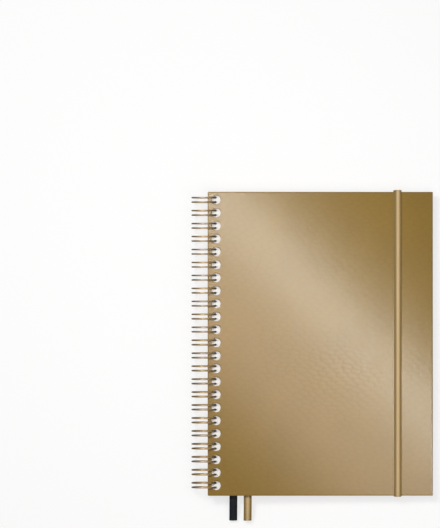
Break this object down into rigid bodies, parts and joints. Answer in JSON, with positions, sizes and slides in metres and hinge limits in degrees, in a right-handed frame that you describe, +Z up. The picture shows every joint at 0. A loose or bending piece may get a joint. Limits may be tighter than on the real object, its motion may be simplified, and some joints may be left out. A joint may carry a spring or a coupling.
{
  "type": "spiral notebook",
  "caption": "Hard-cover notebook, twin-loop wire bound down its long side, with an elastic closing band round the fore-edge side and ribbon markers hanging from the tail.",
  "frame": {"origin": "on the table under the middle of the closed notebook's box, ribbons included", "axes": "+X from the spine to the fore edge, +Y from tail to head along the spine, +Z up from the table; the covers lean 1.2 degrees about Y, because the book rests on its wire loops"},
  "size_m": [0.2368, 0.3238, 0.025],
  "materials": {
    "cover_leather": "gold metallic faux leather with a faint scaly emboss, satin sheen",
    "paper": "uncoated white paper, cut edges",
    "gold_wire": "gold-coloured steel wire, satin",
    "elastic": "flat woven gold elastic, ribbed along its length",
    "black_ribbon": "black satin ribbon",
    "gold_ribbon": "gold satin ribbon"
  },
  "bodies": {
    "bound_leaves": {"page_block": "paper", "wire_binding": "gold_wire", "ribbon_black": "black_ribbon", "ribbon_gold": "gold_ribbon"},
    "front_board": {"front_cover": "cover_leather"},
    "back_board": {"back_cover": "cover_leather", "elastic_band": "elastic"}
  },
  "joints": [
    {"name": "front_cover_hinge", "type": "hinge", "parent": "bound_leaves", "child": "front_board", "pos_m": [-0.10574, 0, 0.01244], "axis": [0, -1, 0], "range_deg": [0, 180], "deforming": ["elastic_band"]},
    {"name": "back_cover_hinge", "type": "hinge", "parent": "bound_leaves", "child": "back_board", "pos_m": [-0.10574, 0, 0.01244], "axis": [0, 1, 0], "range_deg": [0, 180], "deforming": ["elastic_band"]}
  ]
}
